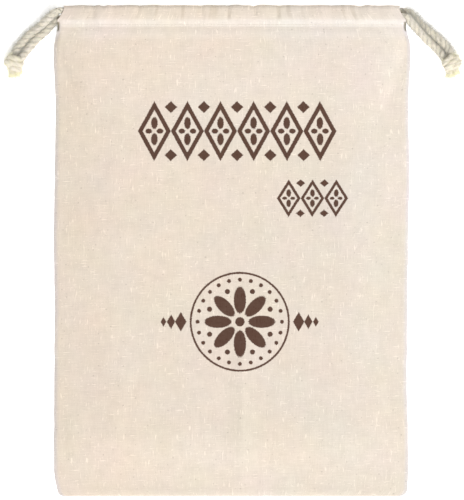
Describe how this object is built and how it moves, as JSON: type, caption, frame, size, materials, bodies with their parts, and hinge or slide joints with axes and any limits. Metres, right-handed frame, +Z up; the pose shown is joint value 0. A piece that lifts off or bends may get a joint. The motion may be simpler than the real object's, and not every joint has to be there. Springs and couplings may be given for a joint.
{
  "type": "linen bread bag",
  "caption": "Flat drawstring bag of natural linen, with a cord casing along its mouth and knotted cotton cords at both sides.",
  "frame": {"origin": "middle of the bag's footprint without its cords, on the surface that it lies on", "axes": "+X across the bag to its right side seen from the front, +Y from the bottom seam to the mouth, +Z up out of the front panel"},
  "size_m": [0.3899, 0.4182, 0.0232],
  "materials": {
    "linen": "plain-woven unbleached linen, slubby and matt, with a dark printed design on the front",
    "cotton_cord": "soft twisted cotton cord, matt"
  },
  "bodies": {
    "root": {"front_panel": "linen", "back_panel": "linen", "drawcord_left": "cotton_cord", "drawcord_right": "cotton_cord", "knot_left": "cotton_cord", "knot_right": "cotton_cord"}
  },
  "joints": []
}
